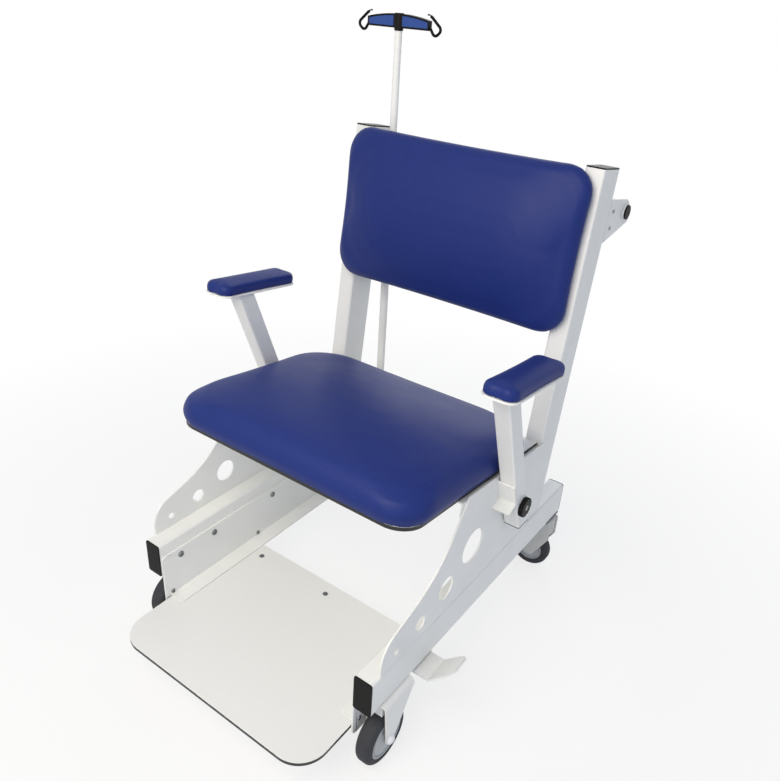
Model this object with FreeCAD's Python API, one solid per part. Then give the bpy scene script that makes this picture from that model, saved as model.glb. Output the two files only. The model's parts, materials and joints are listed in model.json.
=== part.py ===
"""Transfer chair on four wheels, built from its separate pieces.

Millimetres, Z up, floor at zero. Left and right are as seen from the front, which faces -Y.
While a piece is modelled, Y runs back from the front ends of the rails; the last step moves
everything so that the origin is on the floor at the middle of the chair.
"""
import FreeCAD
import Part
import math
import os

Vector = FreeCAD.Vector
ORIGIN = Vector(0, 0, 0)
X_AXIS = Vector(1, 0, 0)
Z_AXIS = Vector(0, 0, 1)

# Clearances
running_gap = 0.05
slide_gap = 0.3
plug_gap = 0.2

# Rails
rail_spread = 600.0
rail_width = 40.0
rail_height = 80.0
rail_length = 775.0
rail_wall = 2.5
rail_corner = 5.0
rail_bottom = 160.0
cap_thickness = 3.0
plug_depth = 14.0

# Side plates and their row of graded holes, each as (y, height above the rail, diameter)
side_thickness = 4.0
side_nose_y = 24.0
side_nose_rise = 60.0
side_nose_radius = 55.0
side_waist_y = 189.0
side_waist_rise = 113.0
side_waist_radius = 225.0
side_top_y = 279.0
side_top_radius = 8.0
side_lap = 8.0
side_holes = ((68.4, 24.8, 14.0), (143.5, 35.2, 31.0), (226.0, 60.0, 50.0), (315.5, 104.3, 75.0))

# Uprights
upright_width = 40.0
upright_depth = 80.0
upright_length = 779.0
upright_lean = 7.5
upright_setback = 210.0

# Rear cross tube
cross_size = 40.0

# Seat
seat_front_y = 85.6
seat_front_z = 497.0
seat_tilt = 6.8
board_thickness = 8.0
board_side_gap = 14.0
board_front_gap = 8.0
board_corner = 52.0
seat_pad_side_gap = 6.0
seat_pad_rear_gap = 47.0
seat_pad_wrap = 5.0
seat_pad_edge = 66.0
seat_pad_roll = 41.0
seat_pad_crown = 16.0
seat_pad_corner = 58.0
seat_pad_growth = 2.0
seat_pad_draw = 2.0
angle_leg = 30.0
angle_thickness = 4.0
angle_front_y = 262.0

# Backrest
back_board_thickness = 8.0
back_board_margin = 12.0
back_pad_side_gap = 16.0
back_pad_height = 326.0
back_pad_edge = 36.0
back_pad_roll = 26.0
back_pad_crown = 26.0
back_pad_corner = 44.0
back_pad_growth = 2.0
back_pad_draw = 3.0
back_pad_drop = 2.0

# Footplate and its guides
foot_side_gap = 2.4
foot_front_y = -123.0
foot_depth = 387.0
foot_thickness = 8.0
foot_top = 99.3
foot_front_corner = 60.0
foot_rear_corner = 12.0
foot_travel = 240.0
foot_bar_width = 30.0
foot_bar_height = 20.0
foot_bar_wall = 2.0
foot_bar_setback = 32.0
foot_bar_end_gap = 6.0
foot_screw_inset = 58.6
foot_screw_radius = 3.0
foot_screw_head_radius = 6.0
foot_screw_head = 1.5
guide_thickness = 4.0
guide_front_y = 4.0
guide_overrun = 16.0
guide_top = 210.0
guide_bottom = 77.0
guide_flange = 37.0
guide_lower_flange = 26.0
guide_flange_thickness = 3.0
guide_corner = 12.0
guide_screw_z = 192.0
guide_screw_places = (52.6, 147.5, 333.0)
guide_screw_radius = 4.0
guide_screw_head_radius = 7.0
guide_screw_head = 3.5
guide_rivet_rise = 9.0
guide_rivet_places = (23.0, 280.5)
guide_rivet_radius = 2.5
guide_rivet_head_radius = 5.0
guide_rivet_head = 2.5

# Front wheels
wheel_diameter = 120.0
wheel_width = 34.0
wheel_tread_radius = 11.0
wheel_hub_radius = 45.0
wheel_rim_depth = 9.0
wheel_boss_radius = 15.0
wheel_web = 26.0
wheel_axle_y = 53.0
wheel_inset = 12.0
axle_radius = 5.0
axle_cap_radius = 11.0
axle_cap_rise = 8.0
axle_nut_radius = 9.0
axle_nut_depth = 5.0
fork_inside = 40.0
fork_wall = 4.0
fork_bend = 10.0
fork_front_y = 32.0
fork_length = 91.0
fork_lip = 10.0
fork_end_radius = 10.0
fork_side_gap = 0.5

# Rear casters
rear_diameter = 100.0
rear_width = 28.0
rear_tread_radius = 9.0
rear_hub_radius = 34.0
rear_rim_depth = 8.0
rear_boss_radius = 12.0
rear_web = 20.0
caster_setback = 35.0
caster_trail = 22.0
caster_head_radius = 27.0
caster_arm_gap = 3.0
caster_arm = 5.0
caster_arm_drop = 52.0
caster_arm_end_radius = 13.0
caster_plate_length = 64.0
caster_plate_thickness = 4.0
king_pin_radius = 6.0
king_pin_head_radius = 10.0
king_pin_head = 4.0
king_pin_clearance = 8.0

# Brakes
brake_shaft_drop = 14.5
brake_shaft_radius = 6.0
brake_sleeve_radius = 10.0
brake_block_width = 24.0
brake_block_length = 8.0
brake_block_depth = 26.0
brake_block_gap = 3.0
brake_shaft_overrun = 2.0
brake_swing = 14.0
brake_shoe_length = 30.0
brake_shoe_reach = 20.0
brake_shoe_top = 4.0
pedal_thickness = 4.0
pedal_length = 62.0
pedal_side_gap = 4.0
pedal_inner = 8.0
pedal_fold = 51.0
pedal_flap = 49.0
pedal_rise = 4.5
pedal_corner = 20.0

# Armrests
arm_washer = 2.6
arm_width = 35.0
arm_depth = 40.0
arm_wall = 2.0
arm_corner = 4.0
arm_lean = 21.0
arm_pivot_y = 438.0
arm_pivot_z = 388.5
arm_bottom_z = 328.0
arm_swing = 100.0
arm_bolt_radius = 6.0
arm_bolt_head_radius = 10.0
arm_bolt_head = 5.0
arm_washer_radius = 13.0
arm_knob_radius = 21.0
arm_knob_depth = 10.0
arm_knob_lobes = 14
arm_knob_groove = 3.0
arm_front_y = 253.0
arm_front_z = 707.0
arm_tilt = 6.5
arm_plate_inset = 2.0
arm_plate_width = 71.0
arm_plate_length = 220.0
arm_plate_thickness = 4.0
arm_plate_corner = 23.0
arm_pad_edge = 22.0
arm_pad_roll = 8.0
arm_pad_crown = 5.0
arm_pad_growth = -1.0
arm_pad_margin = 1.0
arm_pad_draw = 2.0
stop_thickness = 4.0
stop_height = 56.0
stop_reach = 32.0

# Push bar
push_back = 95.0
push_rise = 58.0
push_radius = 15.0
push_wall = 2.0
push_end = 2.0
push_plug_head = 4.0
bracket_thickness = 6.0
bracket_foot = 88.0
bracket_drop = 145.0
bracket_nose = 37.0
bracket_nose_drop = 22.0
bracket_nose_radius = 12.0
bracket_shoulder_rise = 26.0
lug_depth = 36.0
lug_margin = 12.0
lug_thickness = 6.0
push_screw_setback = 20.0
push_screw_rises = (29.0, 63.0)
push_screw_radius = 2.5
push_screw_head_radius = 4.0
push_screw_head = 1.5

# Drip pole
mast_inset = 94.0
mast_setback = 90.0
mast_radius = 9.5
mast_foot_radius = 20.0
mast_foot = 6.0
mast_bracket_z = 666.0
mast_bracket_height = 26.0
mast_bracket_radius = 15.0
pole_radius = 8.0
pole_wall = 1.5
pole_top = 1209.0
pole_travel = 200.0
pole_overlap = 208.0
collar_radius = 17.0
collar_height = 40.0
collar_floor = 12.0
collar_knob_radius = 15.0
collar_knob_depth = 18.0
collar_knob_neck = 12.0
collar_screw_radius = 4.0
head_half_length = 78.0
head_thickness = 12.0
head_bottom = 5.0
head_end_height = 18.0
head_arch = 9.0
head_socket_radius = 9.5
head_socket_height = 33.0
head_spigot = 30.0
hook_wire = 2.9
hook_dip = 12.0
hook_reach = 29.5
hook_rise = 25.5
hook_tip = 7.0
hook_bend = 8.0

# Places that follow from the sizes above
rail_out = rail_spread / 2
rail_in = rail_out - rail_width
rail_x = (rail_in, rail_out)
rail_middle = (rail_in + rail_out) / 2
rail_top = rail_bottom + rail_height
side_in = rail_out - side_thickness
upright_x = (side_in - upright_width, side_in)
upright_foot_y = rail_length - upright_setback
lean_slope = math.tan(math.radians(upright_lean))
seat_slope = math.tan(math.radians(seat_tilt))
board_half_width = rail_out - board_side_gap
seat_pad_width = rail_spread - 2 * seat_pad_side_gap
back_pad_width = rail_spread - 2 * back_pad_side_gap
wheel_x = rail_out - wheel_inset
wheel_radius = wheel_diameter / 2
rear_radius = rear_diameter / 2
caster_y = rail_length - caster_setback
foot_bottom = foot_top - foot_thickness
foot_rear_y = foot_front_y + foot_depth
guide_x = (rail_in - guide_thickness, rail_in)
foot_half_width = guide_x[0] - foot_side_gap
foot_screw_pitch = foot_half_width - foot_screw_inset
fork_x = (wheel_x - fork_inside / 2 - fork_wall, wheel_x + fork_inside / 2 + fork_wall)
fork_rear_y = fork_front_y + fork_length
arm_x = (rail_out + arm_washer, rail_out + arm_washer + arm_width)
arm_plate_x = (rail_out - arm_plate_inset, rail_out - arm_plate_inset + arm_plate_width)
brake_shaft_z = rail_bottom - brake_shaft_drop
brake_front_block_y = fork_rear_y + brake_block_gap
pedal_y = brake_front_block_y + brake_block_length + pedal_side_gap
brake_rear_block_y = pedal_y + pedal_length + pedal_side_gap
push_depth = upright_depth + push_back
bracket_foot_height = upright_length - bracket_drop
push_height = bracket_foot_height + push_rise
bracket_x = (side_in - bracket_thickness, side_in)
lug_x = (bracket_x[0] - lug_thickness, bracket_x[0])
back_top = upright_length - back_pad_drop
mast_x = mast_inset - rail_out
mast_y = rail_length - mast_setback
collar_bottom = mast_bracket_z + mast_bracket_height + slide_gap
mast_top = collar_bottom + collar_floor
pole_bottom = mast_top - pole_overlap - pole_travel
pole_bore = pole_radius - pole_wall


def block(x_span, y_span, z_span):
    """Plain block between two values on each axis."""
    corner = Vector(x_span[0], y_span[0], z_span[0])
    return Part.makeBox(x_span[1] - x_span[0], y_span[1] - y_span[0], z_span[1] - z_span[0], corner)


def rod(start, end, radius):
    """Round bar between two points."""
    return Part.makeCylinder(radius, (end - start).Length, start, end - start)


def rod_x(x_span, y, z, radius):
    return rod(Vector(x_span[0], y, z), Vector(x_span[1], y, z), radius)


def rod_y(x, y_span, z, radius):
    return rod(Vector(x, y_span[0], z), Vector(x, y_span[1], z), radius)


def rod_z(x, y, z_span, radius):
    return rod(Vector(x, y, z_span[0]), Vector(x, y, z_span[1]), radius)


def unit(vector):
    return vector * (1 / vector.Length)


def rounded_corner(before, point, after, radius):
    """Start, middle and end of the arc that rounds one corner, or the bare corner."""
    if radius <= 0:
        return point, None, point
    back = unit(before - point)
    ahead = unit(after - point)
    half = back.getAngle(ahead) / 2
    setback = radius / math.tan(half)
    middle = point + unit(back + ahead) * (radius / math.sin(half) - radius)
    return point + back * setback, middle, point + ahead * setback


def joined_edges(corners, closed):
    """Straight runs joined by tangent arcs at the corners, given as (point, radius)."""
    rounded = []
    for index, (point, radius) in enumerate(corners):
        at_end = not closed and index in (0, len(corners) - 1)
        before = corners[index - 1][0]
        after = corners[(index + 1) % len(corners)][0]
        rounded.append(rounded_corner(before, point, after, 0 if at_end else radius))
    edges = []
    for index, (start, middle, end) in enumerate(rounded):
        if middle is not None:
            edges.append(Part.Arc(start, middle, end).toShape())
        last = index == len(rounded) - 1
        if last and not closed:
            break
        following = rounded[(index + 1) % len(rounded)][0]
        if end.distanceToPoint(following) > 1e-6:
            edges.append(Part.makeLine(end, following))
    return edges


def sheet(corners, thickness):
    """Solid sheet from an outline, extruded by a vector."""
    return Part.Face(Part.Wire(joined_edges(corners, True))).extrude(thickness)


def side_sheet(corners, x_span):
    """Sheet whose outline, as (y, z, radius), is seen from the side."""
    points = [(Vector(x_span[0], y, z), radius) for y, z, radius in corners]
    return sheet(points, Vector(x_span[1] - x_span[0], 0, 0))


def front_sheet(corners, y_span):
    """Sheet whose outline, as (x, z, radius), is seen from the front."""
    points = [(Vector(x, y_span[0], z), radius) for x, z, radius in corners]
    return sheet(points, Vector(0, y_span[1] - y_span[0], 0))


def flat_sheet(corners, z_span):
    """Sheet whose outline, as (x, y, radius), is seen from above."""
    points = [(Vector(x, y, z_span[0]), radius) for x, y, radius in corners]
    return sheet(points, Vector(0, 0, z_span[1] - z_span[0]))


def box_corners(a_span, b_span, radius):
    """Corners of a rounded rectangle."""
    return [(a_span[0], b_span[0], radius), (a_span[1], b_span[0], radius),
            (a_span[1], b_span[1], radius), (a_span[0], b_span[1], radius)]


def shrunk(span, by):
    return (span[0] + by, span[1] - by)


def inner_radius(radius, wall):
    return max(radius - wall, 0.0)


def tube_along_y(x_span, z_span, y_span, wall, corner):
    """Rectangular tube that runs along Y."""
    outer = front_sheet(box_corners(x_span, z_span, corner), y_span)
    hollow = box_corners(shrunk(x_span, wall), shrunk(z_span, wall), inner_radius(corner, wall))
    return outer.cut(front_sheet(hollow, y_span))


def tube_along_z(x_span, y_span, z_span, wall, corner):
    """Rectangular tube that runs along Z."""
    outer = flat_sheet(box_corners(x_span, y_span, corner), z_span)
    hollow = box_corners(shrunk(x_span, wall), shrunk(y_span, wall), inner_radius(corner, wall))
    return outer.cut(flat_sheet(hollow, z_span))


def mirrored(shape):
    """The other hand of a piece."""
    return shape.mirror(ORIGIN, X_AXIS)


def both_hands(shape):
    return [shape, mirrored(shape)]


def turned(profile):
    """Wheel piece about the X axis from an outline given as (x, distance from the axis, radius)."""
    points = [(Vector(x, 0, distance), radius) for x, distance, radius in profile]
    face = Part.Face(Part.Wire(joined_edges(points, True)))
    return face.revolve(ORIGIN, X_AXIS, 360)


def on_upright(shape):
    """Place a piece modelled from the upright's foot, with Y back from its front face."""
    return shape.rotated(ORIGIN, X_AXIS, -upright_lean).translated(Vector(0, upright_foot_y, rail_top))


def on_seat(shape):
    """Place a piece modelled from the seat board's front lower edge, with Y along the board."""
    return shape.rotated(ORIGIN, X_AXIS, -seat_tilt).translated(Vector(0, seat_front_y, seat_front_z))


def on_back(shape):
    """Place a pad modelled flat, with Y up the back and Z forward of the uprights' front faces."""
    return on_upright(shape.rotated(ORIGIN, X_AXIS, 90))


def on_arm_post(shape):
    """Place a piece modelled about the arm's pivot, with Z up the post."""
    return shape.rotated(ORIGIN, X_AXIS, arm_lean).translated(Vector(0, arm_pivot_y, arm_pivot_z))


def on_arm_top(shape):
    """Place a piece modelled on the underside of the arm plate, with Y back from its front edge."""
    return shape.rotated(ORIGIN, X_AXIS, -arm_tilt).translated(Vector(0, arm_front_y, arm_front_z))


def seat_reach(rise):
    """Distance along the seat to the uprights' front faces, at a height off the board's underside."""
    sine = math.sin(math.radians(seat_tilt))
    cosine = math.cos(math.radians(seat_tilt))
    front_at_height = upright_foot_y + (seat_front_z + rise * cosine - rail_top) * lean_slope
    run = front_at_height - seat_front_y - rise * sine
    return run / (cosine + sine * lean_slope)


def board_top_z(y):
    """Height of the seat board's upper face."""
    rise = board_thickness / math.cos(math.radians(seat_tilt))
    return seat_front_z + rise - seat_slope * (y - seat_front_y)


def pad_section(width, depth, corner, draw, height):
    """Rounded outline of a pad whose four sides are drawn in between the corners."""
    half_w = width / 2
    half_d = depth / 2
    bow = corner * (1 - math.sqrt(0.5))
    edges = []
    for turn in range(4):
        across = half_w if turn % 2 == 0 else half_d
        along = half_d if turn % 2 == 0 else half_w
        side = Part.Arc(Vector(corner - across, -along, height), Vector(0, draw - along, height),
                        Vector(across - corner, -along, height)).toShape()
        bend = Part.Arc(Vector(across - corner, -along, height), Vector(across - bow, bow - along, height),
                        Vector(across, corner - along, height)).toShape()
        edges += [side.rotated(ORIGIN, Z_AXIS, 90 * turn), bend.rotated(ORIGIN, Z_AXIS, 90 * turn)]
    return Part.Wire(edges)


def pad(width, depth, edge, roll, crown, corner, growth, draw):
    """Upholstered pad: tucked in at its board, full at the edge, rolled over into a crowned top.

    Its corners round off with height, by the growth for each millimetre that the sides roll in.
    """
    half = min(width, depth) / 2
    tuck = edge / 12
    belly = edge * 0.42
    steps = []
    for angle in (-90, -45, 0):
        bend = math.radians(angle)
        steps.append((belly * (1 + math.sin(bend)), tuck * (1 - math.cos(bend))))
    for angle in (30, 60):
        bend = math.radians(angle)
        steps.append((belly + (edge - belly) * math.sin(bend), roll * (1 - math.cos(bend))))
    for share in (0, 0.15, 0.35, 0.6, 0.85):
        steps.append((edge + crown * (1 - (1 - share) ** 2), roll + (half - roll) * share))
    sections = []
    for height, inset in steps:
        left = 1 - inset / half
        round_off = max(min(corner + growth * inset, half * left * 0.9), half * left * 0.3)
        sections.append(pad_section(width - 2 * inset, depth - 2 * inset, round_off, draw * left, height))
    return Part.makeLoft(sections, True, True)


def rail():
    """One rail, as a tube with holes for the guide's screws in its inner wall."""
    span = (cap_thickness, rail_length - cap_thickness)
    tube = tube_along_y(rail_x, (rail_bottom, rail_top), span, rail_wall, rail_corner)
    for y in guide_screw_places:
        tube = tube.cut(rod_x((rail_in - rail_wall, rail_in + rail_wall), y, guide_screw_z,
                              guide_screw_radius + running_gap))
    return tube


def rail_caps():
    """Black caps for the four rail ends, each a plate with a plug in the tube."""
    plate_outline = box_corners(rail_x, (rail_bottom, rail_top), rail_corner)
    inset = rail_wall + plug_gap
    plug_outline = box_corners(shrunk(rail_x, inset), shrunk((rail_bottom, rail_top), inset),
                               inner_radius(rail_corner, rail_wall))
    front = front_sheet(plate_outline, (0, cap_thickness))
    front = front.fuse(front_sheet(plug_outline, (cap_thickness, cap_thickness + plug_depth)))
    rear = front_sheet(plate_outline, (rail_length - cap_thickness, rail_length))
    plug_start = rail_length - cap_thickness - plug_depth
    rear = rear.fuse(front_sheet(plug_outline, (plug_start, rail_length - cap_thickness)))
    return both_hands(front) + both_hands(rear)


def side_plate():
    """Side plate: rounded nose, hollow front edge, top edge along the seat board, lapped on the upright."""
    lap_y = upright_foot_y + side_lap
    top_at_zero = board_top_z(0)
    rear_y = (lap_y + (top_at_zero - rail_top) * lean_slope) / (1 + seat_slope * lean_slope)
    outline = [(side_nose_y, rail_top, 0), (side_nose_y, rail_top + side_nose_rise, side_nose_radius),
               (side_waist_y, rail_top + side_waist_rise, side_waist_radius),
               (side_top_y, board_top_z(side_top_y), side_top_radius),
               (rear_y, board_top_z(rear_y), 0), (lap_y, rail_top, 0)]
    plate = side_sheet(outline, (side_in, rail_out))
    through = (side_in - side_thickness, rail_out + side_thickness)
    for y, rise, diameter in side_holes:
        plate = plate.cut(rod_x(through, y, rail_top + rise, diameter / 2))
    return plate.cut(rod_x(through, arm_pivot_y, arm_pivot_z, arm_bolt_radius + running_gap))


def push_screw_rods(x_span, radius):
    """Round bars at the push bracket's screw places, in the upright's frame."""
    depth = upright_depth + push_screw_setback
    return [rod_x(x_span, depth, bracket_foot_height + rise, radius) for rise in push_screw_rises]


def upright():
    """Leaning tube that stands on the rail, with the welded lug that takes the push bracket."""
    length = (-upright_depth, upright_length)
    tube = tube_along_z(upright_x, (0, upright_depth), length, rail_wall, rail_corner)
    lug_z = (bracket_foot_height + lug_margin, bracket_foot_height + bracket_foot - lug_margin)
    tube = tube.fuse(block(lug_x, (upright_depth, upright_depth + lug_depth), lug_z))
    for hole in push_screw_rods((lug_x[0] - lug_thickness, side_in), push_screw_radius + running_gap):
        tube = tube.cut(hole)
    below = block((0, rail_out), (0, 2 * rail_length), (-upright_length, rail_top))
    return on_upright(tube).cut(below)


def upright_caps():
    top = (upright_length, upright_length + cap_thickness)
    cap = flat_sheet(box_corners(upright_x, (0, upright_depth), rail_corner), top)
    inset = rail_wall + plug_gap
    plug = box_corners(shrunk(upright_x, inset), shrunk((0, upright_depth), inset),
                       inner_radius(rail_corner, rail_wall))
    cap = cap.fuse(flat_sheet(plug, (upright_length - plug_depth, upright_length)))
    return both_hands(on_upright(cap))


def rear_cross_tube():
    """Square tube between the rails, under the drip pole's rod."""
    half = cross_size / 2
    outline = box_corners((mast_y - half, mast_y + half), (rail_top - cross_size, rail_top), rail_corner)
    hollow = box_corners(shrunk((mast_y - half, mast_y + half), rail_wall),
                         shrunk((rail_top - cross_size, rail_top), rail_wall),
                         inner_radius(rail_corner, rail_wall))
    span = (-rail_in, rail_in)
    return side_sheet(outline, span).cut(side_sheet(hollow, span))


def seat_angles():
    """Angles on the inner faces of the side plates, under the seat board."""
    front = (angle_front_y - seat_front_y) / math.cos(math.radians(seat_tilt))
    rear = seat_reach(-angle_leg)
    outline = [(side_in, 0, 0), (side_in, -angle_leg, 0), (side_in - angle_thickness, -angle_leg, 0),
               (side_in - angle_thickness, -angle_thickness, 0), (side_in - angle_leg, -angle_thickness, 0),
               (side_in - angle_leg, 0, 0)]
    return both_hands(on_seat(front_sheet(outline, (front, rear))))


def seat_board():
    rear = seat_reach(0)
    front = board_front_gap
    outline = [(-board_half_width, front, board_corner), (board_half_width, front, board_corner),
               (board_half_width, rear, 0), (-board_half_width, rear, 0)]
    return on_seat(flat_sheet(outline, (0, board_thickness)))


def seat_cushion():
    """Seat pad, with its cover wrapped down over the board's edge."""
    depth = seat_reach(board_thickness) - seat_pad_rear_gap
    cushion = pad(seat_pad_width, depth, seat_pad_edge, seat_pad_roll, seat_pad_crown,
                  seat_pad_corner, seat_pad_growth, seat_pad_draw)
    cushion = cushion.translated(Vector(0, depth / 2, board_thickness - seat_pad_wrap))
    return on_seat(cushion).cut(seat_board())


def back_board():
    half = back_pad_width / 2 - back_board_margin
    rise = (back_top - back_pad_height + back_board_margin, back_top - back_board_margin)
    outline = box_corners((-half, half), rise, back_pad_corner - back_board_margin)
    return on_back(flat_sheet(outline, (0, back_board_thickness)))


def back_cushion():
    """Back pad, with its cover wrapped over the board's edge to the uprights."""
    cushion = pad(back_pad_width, back_pad_height, back_pad_edge, back_pad_roll, back_pad_crown,
                  back_pad_corner, back_pad_growth, back_pad_draw)
    cushion = cushion.translated(Vector(0, back_top - back_pad_height / 2, 0))
    return on_back(cushion).cut(back_board())


def footplate():
    half = foot_half_width
    outline = [(-half, foot_front_y, foot_front_corner), (half, foot_front_y, foot_front_corner),
               (half, foot_rear_y, foot_rear_corner), (-half, foot_rear_y, foot_rear_corner)]
    plate = flat_sheet(outline, (foot_bottom, foot_top))
    for hole in foot_screw_rods((foot_bottom - foot_bar_wall, foot_top), foot_screw_radius + running_gap):
        plate = plate.cut(hole)
    return plate


def foot_screw_rods(z_span, radius):
    """Round bars at the places of the screws near the footplate's rear edge."""
    y = foot_rear_y - foot_bar_setback
    return [rod_z(place * foot_screw_pitch, y, z_span, radius) for place in (-1, 0, 1)]


def footplate_bar():
    """Stiffening tube under the footplate, clear of the guides' lower flanges."""
    half_length = guide_x[0] - guide_lower_flange - foot_bar_end_gap
    middle = foot_rear_y - foot_bar_setback
    y_span = (middle - foot_bar_width / 2, middle + foot_bar_width / 2)
    z_span = (foot_bottom - foot_bar_height, foot_bottom)
    x_span = (-half_length, half_length)
    bar = block(x_span, y_span, z_span)
    bar = bar.cut(block(x_span, shrunk(y_span, foot_bar_wall), shrunk(z_span, foot_bar_wall)))
    for hole in foot_screw_rods((foot_bottom - foot_bar_wall, foot_top), foot_screw_radius + running_gap):
        bar = bar.cut(hole)
    return bar


def footplate_screws():
    shanks = foot_screw_rods((foot_bottom - foot_bar_wall, foot_top), foot_screw_radius)
    heads = foot_screw_rods((foot_top, foot_top + foot_screw_head), foot_screw_head_radius)
    return [shank.fuse(head) for shank, head in zip(shanks, heads)]


def guide():
    """Footplate guide: a web on the rail's inner face with a flange above and below the footplate."""
    rear_y = foot_rear_y + foot_travel + guide_overrun
    web = side_sheet([(guide_front_y, guide_bottom, guide_corner), (rear_y, guide_bottom, 0),
                      (rear_y, guide_top, 0), (guide_front_y, guide_top, guide_corner)], guide_x)
    upper = (foot_top + slide_gap, foot_top + slide_gap + guide_flange_thickness)
    lower = (foot_bottom - slide_gap - guide_flange_thickness, foot_bottom - slide_gap)
    for z_span, reach in ((upper, guide_flange), (lower, guide_lower_flange)):
        inner = guide_x[0] - reach
        front_y = guide_front_y + guide_corner
        outline = [(inner, front_y, guide_corner), (guide_x[0], front_y, 0),
                   (guide_x[0], rear_y, 0), (inner, rear_y, 0)]
        web = web.fuse(flat_sheet(outline, z_span))
    for y in guide_screw_places:
        web = web.cut(rod_x(guide_x, y, guide_screw_z, guide_screw_radius + running_gap))
    for y in guide_rivet_places:
        web = web.cut(rod_x(guide_x, y, foot_top + guide_rivet_rise, guide_rivet_radius + running_gap))
    return web


def guide_screws():
    """Button screws into the rails, and the small through screws just over the flanges."""
    screws = []
    for y in guide_screw_places:
        shank = rod_x((guide_x[0], rail_in + rail_wall), y, guide_screw_z, guide_screw_radius)
        head = rod_x((guide_x[0] - guide_screw_head, guide_x[0]), y, guide_screw_z, guide_screw_head_radius)
        screws += both_hands(shank.fuse(head))
    z = foot_top + guide_rivet_rise
    for y in guide_rivet_places:
        shank = rod_x(guide_x, y, z, guide_rivet_radius)
        head = rod_x((guide_x[0] - guide_rivet_head, guide_x[0]), y, z, guide_rivet_head_radius)
        tail = rod_x((rail_in, rail_in + guide_rivet_head), y, z, guide_rivet_head_radius)
        screws += both_hands(shank.fuse([head, tail]))
    return screws


def front_fork():
    """Fixed fork bent from sheet, with cheeks that narrow towards the axle."""
    fork_y = (fork_front_y, fork_rear_y)
    z_span = (-wheel_diameter, rail_bottom)
    shell = front_sheet(box_corners(fork_x, z_span, fork_bend), fork_y)
    hollow = box_corners(shrunk(fork_x, fork_wall), (-2 * wheel_diameter, rail_bottom - fork_wall),
                         inner_radius(fork_bend, fork_wall))
    shell = shell.cut(front_sheet(hollow, fork_y))
    end_z = wheel_radius - fork_end_radius
    outline = [(fork_front_y, rail_bottom, 0), (fork_rear_y, rail_bottom, 0),
               (fork_rear_y, rail_bottom - fork_lip, 0),
               (wheel_axle_y + fork_end_radius, end_z, fork_end_radius * 0.9),
               (wheel_axle_y - fork_end_radius, end_z, fork_end_radius * 0.9)]
    fork = shell.common(side_sheet(outline, fork_x))
    return fork.cut(rod_x(fork_x, wheel_axle_y, wheel_radius, axle_radius + running_gap))


def front_axles():
    """Axle bolts with a domed cap outside and a nut inside."""
    shank = rod_x(fork_x, wheel_axle_y, wheel_radius, axle_radius)
    nut = rod_x((fork_x[0] - axle_nut_depth, fork_x[0]), wheel_axle_y, wheel_radius, axle_nut_radius)
    sphere = (axle_cap_radius ** 2 + axle_cap_rise ** 2) / (2 * axle_cap_rise)
    centre = Vector(fork_x[1] + axle_cap_rise - sphere, wheel_axle_y, wheel_radius)
    cap_span = (fork_x[1], fork_x[1] + axle_cap_rise)
    cap = rod_x(cap_span, wheel_axle_y, wheel_radius, axle_cap_radius)
    cap = cap.common(Part.makeSphere(sphere, centre))
    return both_hands(shank.fuse([nut, cap]))


def tyre(radius, width, hub_radius, tread_radius):
    """Solid tyre with rounded shoulders."""
    half = width / 2
    inside = hub_radius + running_gap
    shoulder = min(tread_radius, (radius - inside) * 0.9, half * 0.9)
    return turned([(-half, inside, 0), (half, inside, 0),
                   (half, radius, shoulder), (-half, radius, shoulder)])


def hub(hub_radius, rim_depth, rim_width, boss_radius, boss_width, web):
    """Wheel hub: a boss on the axle, a thinner web and a rim under the tyre."""
    bore = axle_radius + running_gap
    rim = rim_width / 2
    boss = boss_width / 2
    half_web = web / 2
    step = hub_radius - rim_depth
    right = [(boss, bore, 0), (boss, boss_radius, 0), (half_web, boss_radius, 0), (half_web, step, 0),
             (rim, step, 0), (rim, hub_radius, 0)]
    left = [(-x, distance, 0) for x, distance, radius in reversed(right)]
    return turned(right + left)


def front_tyre():
    ring = tyre(wheel_radius, wheel_width, wheel_hub_radius, wheel_tread_radius)
    return ring.translated(Vector(wheel_x, wheel_axle_y, wheel_radius))


def front_hub():
    boss_width = fork_inside - 2 * fork_side_gap
    core = hub(wheel_hub_radius, wheel_rim_depth, wheel_width, wheel_boss_radius, boss_width, wheel_web)
    return core.translated(Vector(wheel_x, wheel_axle_y, wheel_radius))


def on_caster(shape):
    """Place a caster piece modelled about its king pin on the floor."""
    return shape.translated(Vector(rail_middle, caster_y, 0))


def caster_mounts():
    """Plate under the rail's rear end with the king pin that the fork turns on."""
    half = caster_plate_length / 2
    half_rail = rail_width / 2
    plate_z = (rail_bottom - caster_plate_thickness, rail_bottom)
    plate = block((-half_rail, half_rail), (-half, half), plate_z)
    pin_end = rear_diameter + king_pin_clearance
    pin = rod_z(0, 0, (pin_end, rail_bottom), king_pin_radius)
    head = rod_z(0, 0, (pin_end, pin_end + king_pin_head), king_pin_head_radius)
    return both_hands(on_caster(plate.fuse([pin, head])))


def caster_arm_y():
    """Inner and outer face of a caster arm, measured from the wheel's middle plane."""
    inner = rear_width / 2 + caster_arm_gap
    return (inner, inner + caster_arm)


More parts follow.
